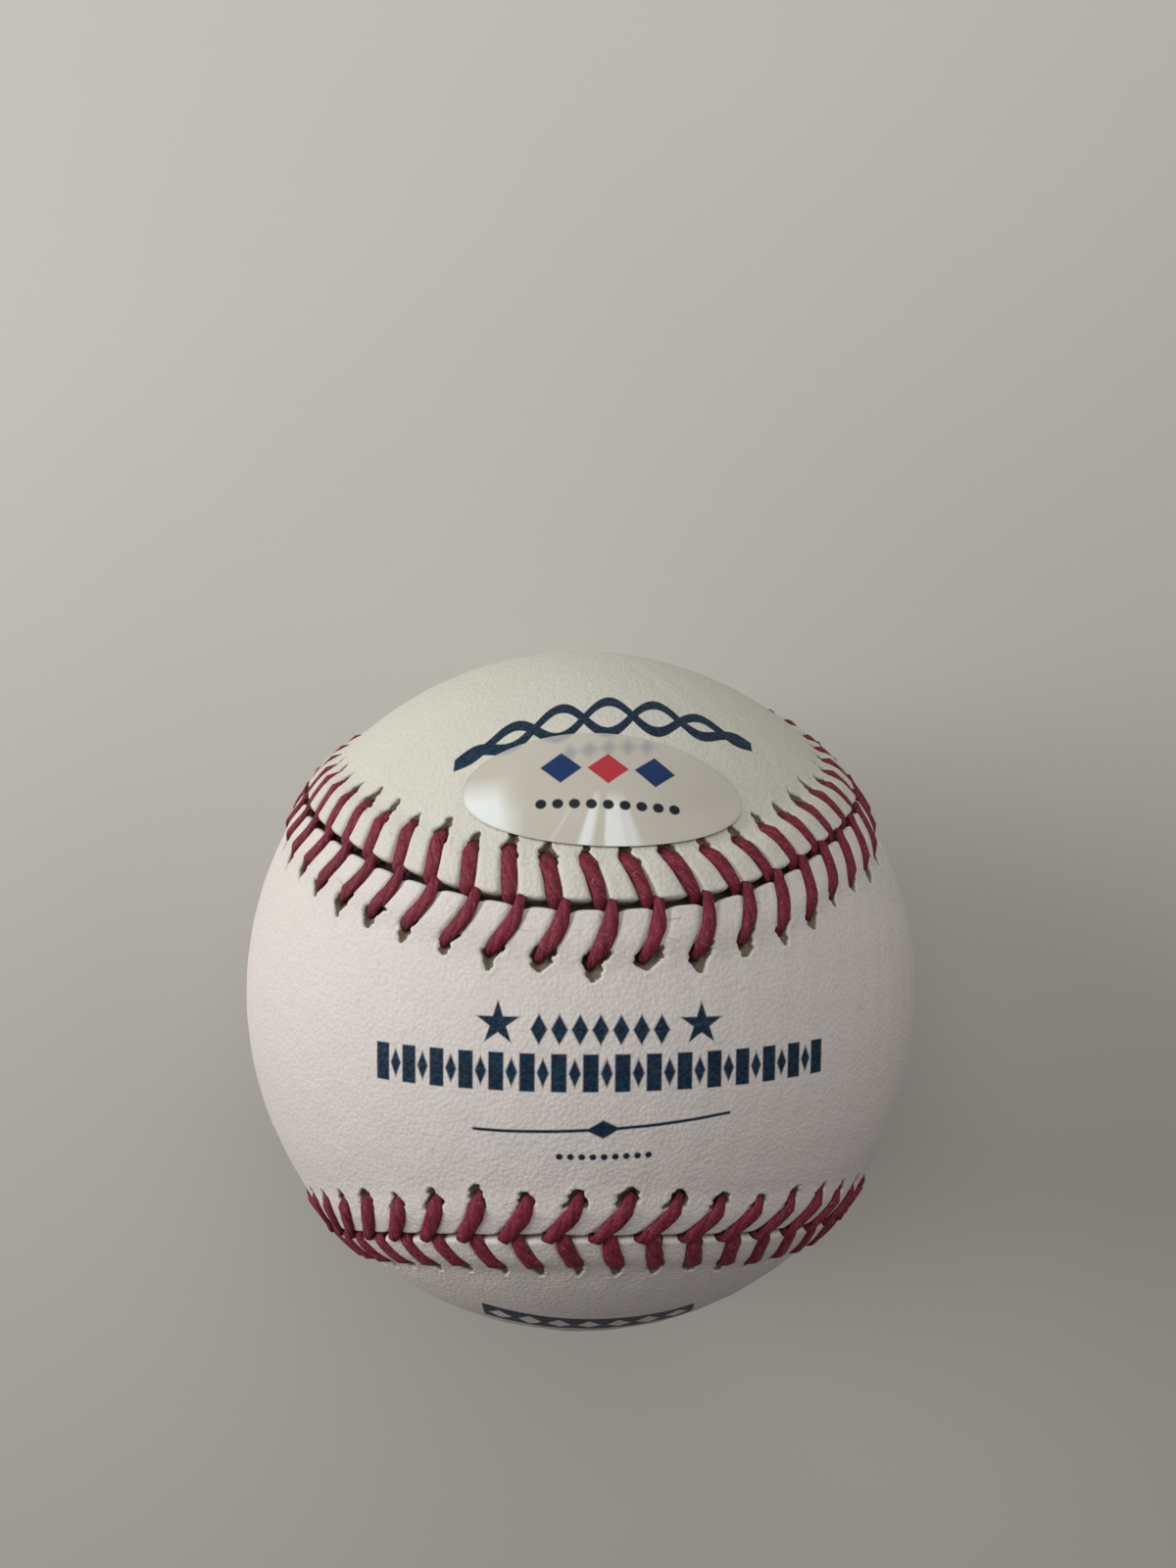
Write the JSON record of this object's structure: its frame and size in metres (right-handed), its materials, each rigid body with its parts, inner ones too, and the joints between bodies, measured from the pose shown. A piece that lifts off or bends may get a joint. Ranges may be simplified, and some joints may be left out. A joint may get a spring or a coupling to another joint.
{
  "type": "baseball",
  "caption": "Sewn leather ball: a cork and rubber core wound with wool, inside two figure-eight leather panels joined by raised red double stitches.",
  "frame": {"origin": "centre of the ball", "axes": "+Z out through the waist of cover panel A, whose lobes lie toward +X and -X; panel B's lobes lie toward +Y and -Y and its waist toward -Z"},
  "size_m": [0.0744, 0.0744, 0.0746],
  "materials": {
    "cork": "granular cork",
    "black_rubber": "moulded, matt",
    "red_rubber": "moulded, matt",
    "grey_wool": "wound yarn",
    "white_wool": "wound yarn",
    "finishing_thread": "fine wound thread",
    "cover_leather": "fine pebbled grain, dull",
    "waxed_thread": "twisted ply, waxed",
    "label_film": "pearly translucent film"
  },
  "bodies": {
    "root": {"cork_core": "cork", "black_shell_lower": "black_rubber", "black_shell_upper": "black_rubber", "core_washer": "red_rubber", "red_shell": "red_rubber", "first_winding": "grey_wool", "second_winding": "white_wool", "third_winding": "grey_wool", "finishing_winding": "finishing_thread", "cover_panel_a": "cover_leather", "cover_panel_b": "cover_leather", "stitches_panel_a": "waxed_thread", "stitches_panel_b": "waxed_thread", "oval_label": "label_film"}
  },
  "joints": []
}
